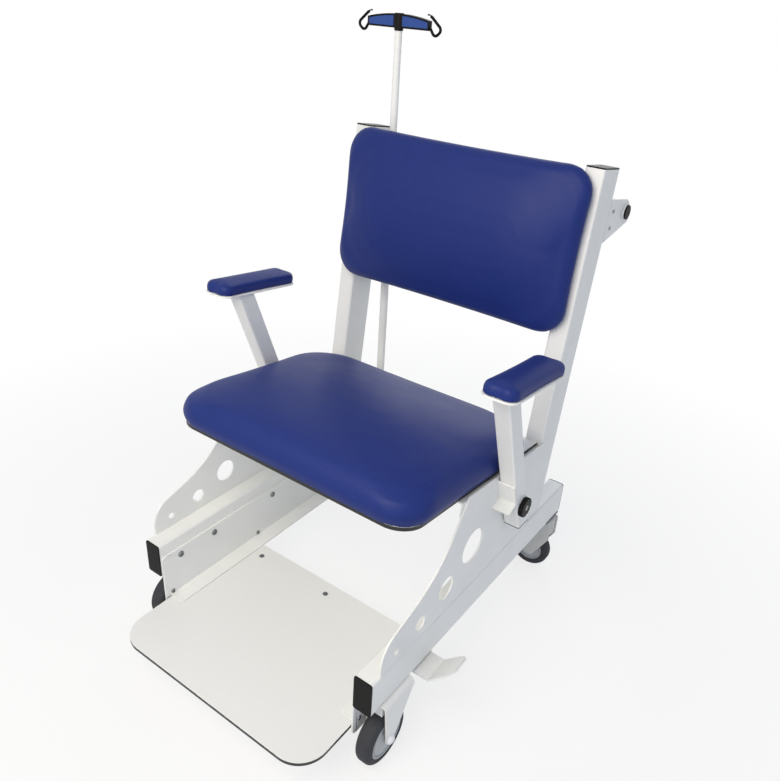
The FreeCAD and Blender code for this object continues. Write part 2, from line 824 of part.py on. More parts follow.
def caster_fork():
    """Swivelling fork: a round head on the king pin, two arms and a riveted axle."""
    head_z = (rear_diameter + king_pin_clearance + king_pin_head + slide_gap,
              rail_bottom - caster_plate_thickness - slide_gap)
    fork = rod_z(0, 0, head_z, caster_head_radius)
    arm_z = head_z[1] - caster_arm_drop
    end_z = rear_radius - caster_arm_end_radius
    outline = [(caster_head_radius, head_z[1], caster_arm), (caster_head_radius, arm_z, caster_arm),
               (caster_arm_end_radius - caster_trail, end_z, caster_arm_end_radius * 0.9),
               (-caster_arm_end_radius - caster_trail, end_z, caster_arm_end_radius * 0.9),
               (-caster_head_radius, head_z[0], caster_arm), (-caster_head_radius, head_z[1], caster_arm)]
    inner, outer = caster_arm_y()
    for y_span in ((inner, outer), (-outer, -inner)):
        fork = fork.fuse(front_sheet(outline, y_span))
    fork = fork.fuse(rod_y(-caster_trail, (-outer, outer), rear_radius, axle_radius))
    return on_caster(fork.cut(rod_z(0, 0, head_z, king_pin_radius + running_gap)))


def on_caster_axle(shape):
    """Turn a wheel piece across the caster and set it on its axle."""
    across = shape.rotated(ORIGIN, Z_AXIS, 90)
    return on_caster(across.translated(Vector(-caster_trail, 0, rear_radius)))


def rear_tyre():
    return on_caster_axle(tyre(rear_radius, rear_width, rear_hub_radius, rear_tread_radius))


def rear_hub():
    boss_width = 2 * (caster_arm_y()[0] - fork_side_gap)
    core = hub(rear_hub_radius, rear_rim_depth, rear_width, rear_boss_radius, boss_width, rear_web)
    return on_caster_axle(core)


def brake_blocks():
    """Bearing blocks under each rail for the brake shaft."""
    blocks = []
    half = brake_block_width / 2
    for y in (brake_front_block_y, brake_rear_block_y):
        y_span = (y, y + brake_block_length)
        outline = box_corners((rail_middle - half, rail_middle + half),
                              (rail_bottom - brake_block_depth, rail_bottom), 0)
        bearing = front_sheet(outline, y_span)
        bearing = bearing.cut(rod_y(rail_middle, y_span, brake_shaft_z, brake_shaft_radius + running_gap))
        blocks += both_hands(bearing)
    return blocks


def brake_pedal():
    """Pedal bent up at its outer end, welded to its shaft with the shoe that presses on the tyre."""
    y_span = (pedal_y, pedal_y + pedal_length)
    low = brake_shaft_z + pedal_rise
    high = low + pedal_thickness
    inner = rail_middle - pedal_inner
    fold = rail_middle + pedal_fold
    slant = pedal_thickness * math.sqrt(0.5)
    inside_fold = pedal_thickness * math.tan(math.radians(22.5))
    outline = [(inner, low, 0), (fold, low, 0), (fold + pedal_flap, low + pedal_flap, 0),
               (fold + pedal_flap - slant, low + pedal_flap + slant, 0), (fold - inside_fold, high, 0),
               (inner, high, 0)]
    pedal = front_sheet(outline, y_span)
    tip = fold + pedal_flap
    plan = [(inner, y_span[0], 0), (tip, y_span[0], pedal_corner),
            (tip, y_span[1], pedal_corner), (inner, y_span[1], 0)]
    pedal = pedal.common(flat_sheet(plan, (0, rail_top)))
    sleeve_y = (brake_front_block_y + brake_block_length + slide_gap, brake_rear_block_y - slide_gap)
    sleeve = rod_y(rail_middle, sleeve_y, brake_shaft_z, brake_sleeve_radius)
    shoe_y = (wheel_axle_y - brake_shoe_length / 2, wheel_axle_y + brake_shoe_length / 2)
    shaft_y = (shoe_y[0], brake_rear_block_y + brake_block_length + brake_shaft_overrun)
    shaft = rod_y(rail_middle, shaft_y, brake_shaft_z, brake_shaft_radius)
    swing = math.radians(brake_swing)
    drop = brake_shaft_z - wheel_diameter - 2 * slide_gap - brake_shoe_reach * math.sin(swing)
    shoe_z = brake_shaft_z - drop / math.cos(swing)
    shoe_x = (rail_middle, rail_middle + brake_shoe_reach)
    shoe = block(shoe_x, shoe_y, (shoe_z, brake_shaft_z + brake_shoe_top))
    return pedal.fuse([sleeve, shaft, shoe])


def arm_post():
    """Leaning armrest post, cut level at the bottom and to the arm plate at the top."""
    reach = 2 * arm_front_z
    half = arm_depth / 2
    foot = arm_bottom_z - arm_pivot_z - arm_depth
    post = on_arm_post(tube_along_z(arm_x, (-half, half), (foot, reach), arm_wall, arm_corner))
    wide = (arm_x[0] - arm_width, arm_x[1] + arm_width)
    below = block(wide, (-reach, reach), (-reach, arm_bottom_z))
    above = on_arm_top(block(wide, (-reach, reach), (0, reach)))
    post = post.cut(below).cut(above)
    return post.cut(rod_x(wide, arm_pivot_y, arm_pivot_z, arm_bolt_radius + running_gap))


def arm_plate():
    outline = box_corners(arm_plate_x, (0, arm_plate_length), arm_plate_corner)
    return on_arm_top(flat_sheet(outline, (0, arm_plate_thickness)))


def arm_pad():
    width = arm_plate_width - 2 * arm_pad_margin
    length = arm_plate_length - 2 * arm_pad_margin
    corner = arm_plate_corner - arm_pad_margin
    cushion = pad(width, length, arm_pad_edge, arm_pad_roll, arm_pad_crown,
                  corner, arm_pad_growth, arm_pad_draw)
    middle = (arm_plate_x[0] + arm_plate_x[1]) / 2
    return on_arm_top(cushion.translated(Vector(middle, arm_plate_length / 2, arm_plate_thickness)))


def arm_pivots():
    """Pivot bolts: head inside the side plate, washer outside it, shank through the post to the knob."""
    end = arm_x[1] + slide_gap + arm_knob_depth
    shank = rod_x((side_in, end), arm_pivot_y, arm_pivot_z, arm_bolt_radius)
    head = rod_x((side_in - arm_bolt_head, side_in), arm_pivot_y, arm_pivot_z, arm_bolt_head_radius)
    washer = rod_x((rail_out, arm_x[0] - slide_gap), arm_pivot_y, arm_pivot_z, arm_washer_radius)
    return both_hands(shank.fuse([head, washer]))


def arm_knob():
    """Clamping knob with grip grooves round its edge."""
    x_span = (arm_x[1] + slide_gap, arm_x[1] + slide_gap + arm_knob_depth)
    knob = rod_x(x_span, arm_pivot_y, arm_pivot_z, arm_knob_radius)
    groove_ring = arm_knob_radius + arm_knob_groove / 2
    for lobe in range(arm_knob_lobes):
        angle = 2 * math.pi * lobe / arm_knob_lobes
        knob = knob.cut(rod_x(x_span, arm_pivot_y + groove_ring * math.cos(angle),
                              arm_pivot_z + groove_ring * math.sin(angle), arm_knob_groove))
    return knob.cut(rod_x(x_span, arm_pivot_y, arm_pivot_z, arm_bolt_radius + running_gap))


def arm_stops():
    """Folded stop: its tall leg carries the post in use, its short leg stops the swung-back post's foot."""
    lean = math.radians(arm_lean)
    half = arm_depth / 2
    foot = (arm_pivot_z - arm_bottom_z - half * math.sin(lean)) / math.cos(lean)
    swing = math.radians(arm_swing)
    fold = half * math.sin(swing) - foot * math.cos(swing) + 2 * slide_gap
    face = -half - slide_gap
    top = fold + stop_height
    inside_fold = fold + stop_thickness
    outline = [(face, fold, 0), (face, top, 0), (face - stop_thickness, top, 0),
               (face - stop_thickness, inside_fold, 0), (face - stop_reach, inside_fold, 0),
               (face - stop_reach, fold, 0)]
    return both_hands(on_arm_post(side_sheet(outline, (rail_out, arm_x[1]))))


def push_bar():
    end = side_in + push_end
    tube = rod_x((-end, end), push_depth, push_height, push_radius)
    return on_upright(tube.cut(rod_x((-end, end), push_depth, push_height, push_radius - push_wall)))


def push_bar_plugs():
    end = side_in + push_end
    head = rod_x((end, end + push_plug_head), push_depth, push_height, push_radius)
    plug = rod_x((end - plug_depth, end), push_depth, push_height, push_radius - push_wall - plug_gap)
    return both_hands(on_upright(head.fuse(plug)))


def push_brackets():
    """Bracket plates between the uprights' lugs and the push bar."""
    nose = push_depth + bracket_nose
    outline = [(upright_depth, bracket_foot_height, 0),
               (upright_depth, bracket_foot_height + bracket_foot, 0),
               (push_depth, push_height + bracket_shoulder_rise, bracket_shoulder_rise),
               (nose, push_height, bracket_nose_radius),
               (nose - bracket_nose_radius, push_height - bracket_nose_drop, bracket_nose_radius / 2)]
    plate = side_sheet(outline, bracket_x)
    plate = plate.cut(rod_x(bracket_x, push_depth, push_height, push_radius + running_gap))
    for hole in push_screw_rods(bracket_x, push_screw_radius + running_gap):
        plate = plate.cut(hole)
    return both_hands(on_upright(plate))


def push_screws():
    shanks = push_screw_rods((lug_x[0] - push_screw_head, side_in), push_screw_radius)
    heads = push_screw_rods((side_in, side_in + push_screw_head), push_screw_head_radius)
    nuts = push_screw_rods((lug_x[0] - push_screw_head, lug_x[0]), push_screw_head_radius)
    screws = []
    for shank, head, nut in zip(shanks, heads, nuts):
        screws += both_hands(on_upright(shank.fuse([head, nut])))
    return screws


def mast():
    """Fixed tube on the cross tube, which the pole slides in."""
    shaft = rod_z(mast_x, mast_y, (rail_top, mast_top), mast_radius)
    foot = rod_z(mast_x, mast_y, (rail_top, rail_top + mast_foot), mast_foot_radius)
    bore = rod_z(mast_x, mast_y, (rail_top, mast_top), pole_radius + slide_gap)
    return shaft.fuse(foot).cut(bore)


def mast_bracket():
    """Arm from the left upright's inner face to an eye round the fixed tube."""
    z_span = (mast_bracket_z, mast_bracket_z + mast_bracket_height)
    eye = rod_z(mast_x, mast_y, z_span, mast_bracket_radius)
    half = mast_bracket_radius
    arm = block((-upright_x[0], mast_x), (mast_y - half, mast_y + half), z_span)
    return eye.fuse(arm).cut(rod_z(mast_x, mast_y, z_span, mast_radius + running_gap))


def pole():
    span = (pole_bottom, pole_top)
    return rod_z(mast_x, mast_y, span, pole_radius).cut(rod_z(mast_x, mast_y, span, pole_bore))


def collar_knob_z():
    return mast_top + (collar_height - collar_floor) / 2


def pole_collar():
    """Collar on the fixed tube's upper end, with the pole's clamp."""
    collar_top = collar_bottom + collar_height
    ring = rod_z(mast_x, mast_y, (collar_bottom, collar_top), collar_radius)
    ring = ring.cut(rod_z(mast_x, mast_y, (collar_bottom, mast_top), mast_radius + running_gap))
    ring = ring.cut(rod_z(mast_x, mast_y, (mast_top, collar_top), pole_radius + running_gap))
    hole_y = (mast_y, mast_y + 2 * collar_radius)
    return ring.cut(rod_y(mast_x, hole_y, collar_knob_z(), collar_screw_radius + running_gap))


def collar_knob():
    """Clamping knob behind the pole; its screw ends just short of the pole."""
    tip = mast_y + pole_radius + slide_gap
    neck_end = mast_y + collar_radius + collar_knob_neck
    screw = rod_y(mast_x, (tip, neck_end), collar_knob_z(), collar_screw_radius)
    grip_y = (neck_end, neck_end + collar_knob_depth)
    grip = rod_y(mast_x, grip_y, collar_knob_z(), collar_knob_radius)
    groove_ring = collar_knob_radius + arm_knob_groove / 2
    for lobe in range(arm_knob_lobes):
        angle = 2 * math.pi * lobe / arm_knob_lobes
        grip = grip.cut(rod_y(mast_x + groove_ring * math.cos(angle), grip_y,
                              collar_knob_z() + groove_ring * math.sin(angle), arm_knob_groove))
    return screw.fuse(grip)


def on_pole_top(shape):
    """Place a piece modelled on the pole's upper end."""
    return shape.translated(Vector(mast_x, mast_y, pole_top))


def hook_head():
    """Moulded cross head: an arched bar on a socket with a spigot in the pole."""
    half = head_half_length
    end_top = head_bottom + head_end_height
    front = -head_thickness / 2
    low_left = Vector(-half, front, head_bottom)
    low_right = Vector(half, front, head_bottom)
    top_right = Vector(half, front, end_top)
    top_left = Vector(-half, front, end_top)
    arch = Part.Arc(top_right, Vector(0, front, end_top + head_arch), top_left).toShape()
    edges = [Part.makeLine(low_left, low_right), Part.makeLine(low_right, top_right), arch,
             Part.makeLine(top_left, low_left)]
    bar = Part.Face(Part.Wire(edges)).extrude(Vector(0, head_thickness, 0))
    socket = rod_z(0, 0, (0, head_socket_height), head_socket_radius)
    spigot = rod_z(0, 0, (-head_spigot, 0), pole_bore - running_gap)
    return on_pole_top(bar.fuse([socket, spigot]))


def hooks():
    """Wire hooks that leave the bar's ends, dip, and curl up and back over it."""
    start = head_half_length
    route = [(start, head_bottom + 2 * hook_wire, 0), (start + hook_dip, head_bottom - hook_dip, hook_bend),
             (start + hook_reach, head_bottom + hook_wire, hook_bend),
             (start + hook_wire, head_bottom + hook_rise, hook_bend),
             (start - hook_tip, head_bottom + hook_rise + hook_wire, 0)]
    corners = [(Vector(x, 0, z), radius) for x, z, radius in route]
    path = Part.Wire(joined_edges(corners, False))
    heading = corners[1][0] - corners[0][0]
    ring = Part.Wire(Part.makeCircle(hook_wire, corners[0][0], heading))
    wire = path.makePipeShell([ring], True, False)
    bar_end = block((-start, start), (-head_thickness, head_thickness), (0, head_socket_height))
    hook = wire.cut(bar_end)
    return [on_pole_top(piece) for piece in both_hands(hook)]


def build():
    """Every node of the chair, as a list of separate solids."""
    nodes = {
        "rail_end_caps": rail_caps(),
        "upright_caps": upright_caps(),
        "rear_cross_tube": [rear_cross_tube()],
        "seat_angles": seat_angles(),
        "seat_board": [seat_board()],
        "seat_cushion": [seat_cushion()],
        "back_board": [back_board()],
        "back_cushion": [back_cushion()],
        "guide_screws": guide_screws(),
        "footplate": [footplate()],
        "footplate_bar": [footplate_bar()],
        "footplate_screws": footplate_screws(),
        "front_axles": front_axles(),
        "caster_mounts": caster_mounts(),
        "brake_blocks": brake_blocks(),
        "arm_pivots": arm_pivots(),
        "arm_stops": arm_stops(),
        "push_bar": [push_bar()],
        "push_bar_plugs": push_bar_plugs(),
        "push_brackets": push_brackets(),
        "push_screws": push_screws(),
        "mast": [mast()],
        "mast_bracket": [mast_bracket()],
        "pole": [pole()],
        "pole_collar": [pole_collar()],
        "collar_knob": [collar_knob()],
        "hook_head": [hook_head()],
        "hooks": hooks(),
    }
    handed = {
        "rail": rail(), "side_plate": side_plate(), "upright": upright(), "guide": guide(),
        "front_fork": front_fork(), "front_tyre": front_tyre(), "front_hub": front_hub(),
        "caster_fork": caster_fork(), "rear_tyre": rear_tyre(), "rear_hub": rear_hub(),
        "brake_pedal": brake_pedal(), "arm_post": arm_post(), "arm_plate": arm_plate(),
        "arm_pad": arm_pad(), "arm_knob": arm_knob(),
    }
    for name, shape in handed.items():
        nodes[name + "_right"] = [shape]
        nodes[name + "_left"] = [mirrored(shape)]
    return nodes


def rear_end(nodes):
    return max(solid.BoundBox.YMax for solid in nodes["push_brackets"])


def save(nodes):
    """Move the origin to the floor at the chair's middle and write each node."""
    os.makedirs("parts", exist_ok=True)
    shift = Vector(0, -(foot_front_y + rear_end(nodes)) / 2, 0)
    print("shift back to front", round(shift.y, 4))
    for name, shapes in sorted(nodes.items()):
        solids = [solid.translated(shift) for shape in shapes for solid in shape.Solids]
        node = solids[0] if len(solids) == 1 else Part.makeCompound(solids)
        node.exportStep("parts/" + name + ".step")


save(build())
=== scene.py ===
"""Transfer chair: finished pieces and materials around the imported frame, in metres."""
import bpy
import json
import math
import numpy as np
from mathutils import Matrix, Vector

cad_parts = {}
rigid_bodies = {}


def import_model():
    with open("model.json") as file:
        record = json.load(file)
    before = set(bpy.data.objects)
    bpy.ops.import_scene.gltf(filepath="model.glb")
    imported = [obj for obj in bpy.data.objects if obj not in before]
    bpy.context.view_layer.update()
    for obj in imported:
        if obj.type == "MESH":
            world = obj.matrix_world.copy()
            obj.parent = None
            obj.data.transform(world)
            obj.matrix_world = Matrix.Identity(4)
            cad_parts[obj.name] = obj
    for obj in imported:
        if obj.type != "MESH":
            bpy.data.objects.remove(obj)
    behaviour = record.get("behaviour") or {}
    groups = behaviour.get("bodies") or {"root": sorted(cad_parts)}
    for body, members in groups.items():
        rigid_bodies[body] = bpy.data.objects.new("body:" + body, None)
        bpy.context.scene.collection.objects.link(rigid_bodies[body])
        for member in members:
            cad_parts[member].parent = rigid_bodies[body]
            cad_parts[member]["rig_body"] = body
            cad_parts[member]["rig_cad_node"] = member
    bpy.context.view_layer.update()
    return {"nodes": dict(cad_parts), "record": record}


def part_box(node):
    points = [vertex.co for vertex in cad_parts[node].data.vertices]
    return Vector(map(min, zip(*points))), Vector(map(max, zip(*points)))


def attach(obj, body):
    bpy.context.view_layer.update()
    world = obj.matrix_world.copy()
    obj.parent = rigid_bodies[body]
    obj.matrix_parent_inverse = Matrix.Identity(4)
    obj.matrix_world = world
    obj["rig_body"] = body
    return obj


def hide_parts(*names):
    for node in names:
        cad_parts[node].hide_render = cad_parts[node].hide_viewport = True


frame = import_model()

MM = 0.001
NODES = frame["nodes"]
RECORD = frame["record"]
BODY_OF = {node: body for body, nodes in RECORD["behaviour"]["bodies"].items() for node in nodes}
SLOT_OF = {entry["node"]: entry["material_slot"] for entry in RECORD["subparts"]}
SIDES = {"left": -1, "right": 1}


# Materials: the scale of a noise is one over the size of its pattern

# Sockets of a Mix node that mixes colours, by number because several share a name
SHARE, FIRST, SECOND, MIXED = 0, 6, 7, 2

# Upright part of a normal above which laminate shows a printed face and not a cut edge
PRINTED_FACE = 0.8


def linear(hex_colour):
    """Linear colour from an sRGB hex value."""
    channels = [int(hex_colour[i:i + 2], 16) / 255 for i in (1, 3, 5)]
    return [c / 12.92 if c <= 0.04045 else ((c + 0.055) / 1.055) ** 2.4 for c in channels] + [1]


def add(tree, kind, settings, links):
    """Add one node: settings are its properties and input values, links feed its inputs."""
    node = tree.nodes.new(kind)
    for name, value in settings.items():
        if isinstance(name, int) or name in node.inputs:
            node.inputs[name].default_value = value
        else:
            setattr(node, name, value)
    for name, socket in links.items():
        tree.links.new(socket, node.inputs[name])
    return node


def new_material(name, **constants):
    """A named material with constants on its shader, its node tree and object coordinates."""
    material = bpy.data.materials.new(name)
    material.use_nodes = True
    tree = material.node_tree
    shader = tree.nodes["Principled BSDF"]
    for socket, value in constants.items():
        shader.inputs[socket.replace("_", " ")].default_value = value
    place = add(tree, "ShaderNodeTexCoord", {}, {}).outputs["Object"]
    return material, tree, place


def surfaced(material, colour, rough, bump):
    """The material with its colour, roughness and bump nodes joined to its shader."""
    links = material.node_tree.links
    shader = material.node_tree.nodes["Principled BSDF"]
    links.new(colour.outputs[MIXED], shader.inputs["Base Color"])
    links.new(rough.outputs["Result"], shader.inputs["Roughness"])
    links.new(bump.outputs["Normal"], shader.inputs["Normal"])
    return material


def powder_coated_steel():
    """White polyester powder baked on steel: half glossy, faint orange peel, handling marks."""
    material, tree, place = new_material("white_powder_coated_steel", IOR=1.5)
    cloud = add(tree, "ShaderNodeTexNoise", {"Scale": 1 / (90 * MM), "Detail": 3.0},
                {"Vector": place})
    marks = add(tree, "ShaderNodeTexNoise",
                {"Scale": 1 / (12 * MM), "Detail": 6.0, "Roughness": 0.7}, {"Vector": place})
    colour = add(tree, "ShaderNodeMix",
                 {"data_type": "RGBA", FIRST: linear("#e3e5e3"), SECOND: linear("#f0f1f0")},
                 {SHARE: cloud.outputs["Fac"]})
    rough = add(tree, "ShaderNodeMapRange", {"To Min": 0.26, "To Max": 0.46},
                {"Value": marks.outputs["Fac"]})
    # Real orange peel is about 1 mm, drawn at 3 mm so that it shows
    peel = add(tree, "ShaderNodeTexNoise", {"Scale": 1 / (3 * MM), "Detail": 2.0},
               {"Vector": place})
    bump = add(tree, "ShaderNodeBump", {"Strength": 0.06, "Distance": 0.2 * MM},
               {"Height": peel.outputs["Fac"]})
    return surfaced(material, colour, rough, bump)


def navy_vinyl():
    """Navy upholstery vinyl: PVC on knitted cloth, embossed with a fine grain whose creases carry
    painted shade, soft sheen.
    """
    material, tree, place = new_material("navy_upholstery_vinyl", IOR=1.53,
                                         Specular_IOR_Level=0.17)
    cloud = add(tree, "ShaderNodeTexNoise", {"Scale": 1 / (70 * MM), "Detail": 4.0},
                {"Vector": place})
    # Embossed cells are about 0.8 mm, drawn at 1.8 mm so that they show
    cells = add(tree, "ShaderNodeTexVoronoi",
                {"feature": "DISTANCE_TO_EDGE", "Scale": 1 / (1.8 * MM)}, {"Vector": place})
    crease = add(tree, "ShaderNodeMapRange", {"From Max": 0.25},
                 {"Value": cells.outputs["Distance"]})
    colour = add(tree, "ShaderNodeMix",
                 {"data_type": "RGBA", FIRST: linear("#1d2f73"), SECOND: linear("#22357f")},
                 {SHARE: cloud.outputs["Fac"]})
    # The creases between the embossed cells are painted darker: painted shade in the grain's
    # hollows, added to the bump
    grain_with_painted_crease_shade = add(tree, "ShaderNodeMix", {"data_type": "RGBA", FIRST: linear("#192868")},
                  {SHARE: crease.outputs["Result"], SECOND: colour.outputs[MIXED]})
    rough = add(tree, "ShaderNodeMapRange", {"To Min": 0.42, "To Max": 0.54},
                {"Value": cloud.outputs["Fac"]})
    bump = add(tree, "ShaderNodeBump", {"Strength": 0.10, "Distance": 0.2 * MM},
               {"Height": crease.outputs["Result"]})
    return surfaced(material, grain_with_painted_crease_shade, rough, bump)


def moulded_plastic(name, dark, light, roughness, shine):
    """Injection-moulded plastic with a fine spark-eroded texture."""
    material, tree, place = new_material(name, IOR=1.49, Specular_IOR_Level=shine)
    cloud = add(tree, "ShaderNodeTexNoise", {"Scale": 1 / (25 * MM), "Detail": 3.0},
                {"Vector": place})
    colour = add(tree, "ShaderNodeMix",
                 {"data_type": "RGBA", FIRST: linear(dark), SECOND: linear(light)},
                 {SHARE: cloud.outputs["Fac"]})
    rough = add(tree, "ShaderNodeMapRange",
                {"To Min": roughness - 0.06, "To Max": roughness + 0.06},
                {"Value": cloud.outputs["Fac"]})
    # The texture's grit is about 0.1 mm, drawn at 1 mm so that it shows
    grit = add(tree, "ShaderNodeTexNoise", {"Scale": 1 / (1 * MM), "Detail": 2.0},
               {"Vector": place})
    bump = add(tree, "ShaderNodeBump", {"Strength": 0.10, "Distance": 0.15 * MM},
               {"Height": grit.outputs["Fac"]})
    return surfaced(material, colour, rough, bump)


def tyre_rubber():
    """Grey thermoplastic rubber, non-marking: dull, with dust from the floor on its tread."""
    material, tree, place = new_material("grey_tyre_rubber", IOR=1.52, Specular_IOR_Level=0.3)
    dust = add(tree, "ShaderNodeTexNoise",
               {"Scale": 1 / (14 * MM), "Detail": 6.0, "Roughness": 0.7}, {"Vector": place})
    colour = add(tree, "ShaderNodeMix",
                 {"data_type": "RGBA", FIRST: linear("#27282b"), SECOND: linear("#414349")},
                 {SHARE: dust.outputs["Fac"]})
    rough = add(tree, "ShaderNodeMapRange", {"To Min": 0.62, "To Max": 0.82},
                {"Value": dust.outputs["Fac"]})
    # Moulding grain is about 0.3 mm, drawn at 1.5 mm so that it shows
    grain = add(tree, "ShaderNodeTexNoise", {"Scale": 1 / (1.5 * MM), "Detail": 3.0},
                {"Vector": place})
    bump = add(tree, "ShaderNodeBump", {"Strength": 0.15, "Distance": 0.3 * MM},
               {"Height": grain.outputs["Fac"]})
    return surfaced(material, colour, rough, bump)


def plated_steel(name, dark, light, roughness):
    """Plated steel, tumbled and bright, with faint clouding and fine scratches."""
    material, tree, place = new_material(name, Metallic=1.0)
    cloud = add(tree, "ShaderNodeTexNoise", {"Scale": 1 / (6 * MM), "Detail": 4.0},
                {"Vector": place})
    colour = add(tree, "ShaderNodeMix",
                 {"data_type": "RGBA", FIRST: linear(dark), SECOND: linear(light)},
                 {SHARE: cloud.outputs["Fac"]})
    rough = add(tree, "ShaderNodeMapRange",
                {"To Min": roughness - 0.07, "To Max": roughness + 0.07},
                {"Value": cloud.outputs["Fac"]})
    # Tumbling scratches are about 0.1 mm, drawn at 0.6 mm so that they show
    scratch = add(tree, "ShaderNodeTexNoise", {"Scale": 1 / (0.6 * MM), "Detail": 3.0},
                  {"Vector": place})
    bump = add(tree, "ShaderNodeBump", {"Strength": 0.05, "Distance": 0.1 * MM},
               {"Height": scratch.outputs["Fac"]})
    return surfaced(material, colour, rough, bump)


def compact_laminate():
    """Compact laminate: pale printed faces on a dark resin core that shows at every cut edge."""
    material, tree, place = new_material("pale_compact_laminate", IOR=1.55)
    speck = add(tree, "ShaderNodeTexNoise", {"Scale": 1 / (5 * MM), "Detail": 5.0},
                {"Vector": place})
    cloud = add(tree, "ShaderNodeTexNoise", {"Scale": 1 / (120 * MM), "Detail": 2.0},
                {"Vector": place})
    face = add(tree, "ShaderNodeMix",
               {"data_type": "RGBA", FIRST: linear("#e2e4e3"), SECOND: linear("#e9eae9")},
               {SHARE: speck.outputs["Fac"]})
    outward = add(tree, "ShaderNodeNewGeometry", {}, {})
    facing = add(tree, "ShaderNodeSeparateXYZ", {}, {"Vector": outward.outputs["Normal"]})
    level = add(tree, "ShaderNodeMath", {"operation": "ABSOLUTE"}, {0: facing.outputs["Z"]})
    flat = add(tree, "ShaderNodeMath", {"operation": "GREATER_THAN", 1: PRINTED_FACE},
               {0: level.outputs["Value"]})
    colour = add(tree, "ShaderNodeMix", {"data_type": "RGBA", FIRST: linear("#101112")},
                 {SHARE: flat.outputs["Value"], SECOND: face.outputs[MIXED]})
    rough = add(tree, "ShaderNodeMapRange", {"To Min": 0.36, "To Max": 0.48},
                {"Value": cloud.outputs["Fac"]})
    bump = add(tree, "ShaderNodeBump", {"Strength": 0.02, "Distance": 0.1 * MM},
               {"Height": speck.outputs["Fac"]})
    return surfaced(material, colour, rough, bump)


WHITE = powder_coated_steel()
VINYL = navy_vinyl()
BLACK = moulded_plastic("black_polyamide", "#070808", "#0d0e0e", roughness=0.50, shine=0.14)
HUB_GREY = moulded_plastic("grey_polypropylene", "#a3a7ab", "#b1b5b9", roughness=0.42, shine=0.5)
HOUSING_GREY = moulded_plastic("pale_grey_polyamide", "#bfc0be", "#cbccca",
                               roughness=0.45, shine=0.5)
CAP_WHITE = moulded_plastic("white_polyethylene", "#e3e5ea", "#eef0f4", roughness=0.35, shine=0.5)
PANEL_BLUE = moulded_plastic("blue_abs", "#223f85", "#2c4e96", roughness=0.34, shine=0.35)
RUBBER = tyre_rubber()
ZINC = plated_steel("zinc_plated_steel", "#6f7275", "#8d9093", roughness=0.32)
BLACK_STEEL = plated_steel("black_oxide_steel", "#161617", "#222224", roughness=0.48)
LAMINATE = compact_laminate()
BOARD = moulded_plastic("black_resin_board", "#0a0b0c", "#111214", roughness=0.55, shine=0.2)

# Finish of each of the record's material slots
FINISH = {
    "white_steel": WHITE, "black_plastic": BLACK, "dark_board": BOARD, "navy_vinyl": VINYL,
    "pale_laminate": LAMINATE, "black_steel": BLACK_STEEL, "plain_steel": ZINC,
    "grey_tyre": RUBBER, "grey_plastic": HUB_GREY,
}


# Modelling

WELD_DISTANCE = 0.002 * MM
ONE_FACE_ANGLE = math.radians(0.4)

# Edges sharper than the first angle are broken, and pieces are shaded smooth below the others
SHARP_ANGLE = math.radians(40)
EASED_ANGLE = math.radians(38)
TURNED_ANGLE = math.radians(35)
CARRIED_ANGLE = math.radians(30)


def nothing_selected():
    """Leave edit mode and deselect every object."""
    if bpy.context.object and bpy.context.object.mode != "OBJECT":
        bpy.ops.object.mode_set(mode="OBJECT")
    bpy.ops.object.select_all(action="DESELECT")


def only(piece):
    """Make one object the only selected one."""
    nothing_selected()
    piece.select_set(True)
    bpy.context.view_layer.objects.active = piece


def paint(piece, *materials):
    """Give a piece these materials and no others."""
    piece.data.materials.clear()
    for material in materials:
        piece.data.materials.append(material)


def edit(mode, chosen):
    """Enter edit mode on the active piece with everything or nothing selected."""
    bpy.ops.object.mode_set(mode="EDIT")
    bpy.ops.mesh.select_mode(type=mode)
    bpy.ops.mesh.select_all(action=chosen)


def done():
    """Go back from edit mode to object mode."""
    bpy.ops.object.mode_set(mode="OBJECT")


def select_faces(piece, test):
    """Go into edit mode with the faces selected that pass a test."""
    only(piece)
    edit("FACE", "DESELECT")
    done()
    for face in piece.data.polygons:
        face.select = test(face)
    bpy.ops.object.mode_set(mode="EDIT")


def select_edges(piece, test):
    """Go into edit mode with the edges selected whose two ends pass a test."""
    only(piece)
    edit("EDGE", "DESELECT")
    done()
    points = piece.data.vertices
    for edge in piece.data.edges:
        start, end = (points[index].co for index in edge.vertices)
        edge.select = test(start) and test(end)
    bpy.ops.object.mode_set(mode="EDIT")


def modify(piece, kind, **settings):
    """Add a modifier to a piece and apply it."""
    modifier = piece.modifiers.new(kind.lower(), kind)
    for name, value in settings.items():
        setattr(modifier, name, value)
    only(piece)
    bpy.ops.object.modifier_apply(modifier=modifier.name)


def smooth_below(piece, angle):
    """Shade a piece smooth, apart from its edges that are sharper than an angle."""
    only(piece)
    bpy.ops.object.shade_smooth_by_angle(angle=angle)


def copied(node):
    """A separate copy of a CAD node with its triangles merged into whole faces."""
    only(NODES[node])
    bpy.ops.object.duplicate()
    piece = bpy.context.object
    piece.name = node + "_finished"
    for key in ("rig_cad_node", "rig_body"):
        del piece[key]
    bpy.ops.object.parent_clear(type="CLEAR_KEEP_TRANSFORM")
    if piece.data.has_custom_normals:
        bpy.ops.mesh.customdata_custom_splitnormals_clear()
    edit("VERT", "SELECT")
    bpy.ops.mesh.remove_doubles(threshold=WELD_DISTANCE)
    bpy.ops.mesh.dissolve_limited(angle_limit=ONE_FACE_ANGLE)
    done()
    return piece


def stand_for(piece, *nodes):
    """Let a piece stand for CAD nodes of one body and ride with it."""
    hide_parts(*nodes)
    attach(piece, BODY_OF[nodes[0]])


def break_edges(piece, width, segments=2):
    """Round the sharp edges a little and keep the wide faces flat to the eye."""
    modify(piece, "BEVEL", width=width, segments=segments, limit_method="ANGLE",
           angle_limit=SHARP_ANGLE, use_clamp_overlap=False)
    smooth_below(piece, EASED_ANGLE)
    modify(piece, "WEIGHTED_NORMAL", keep_sharp=True)


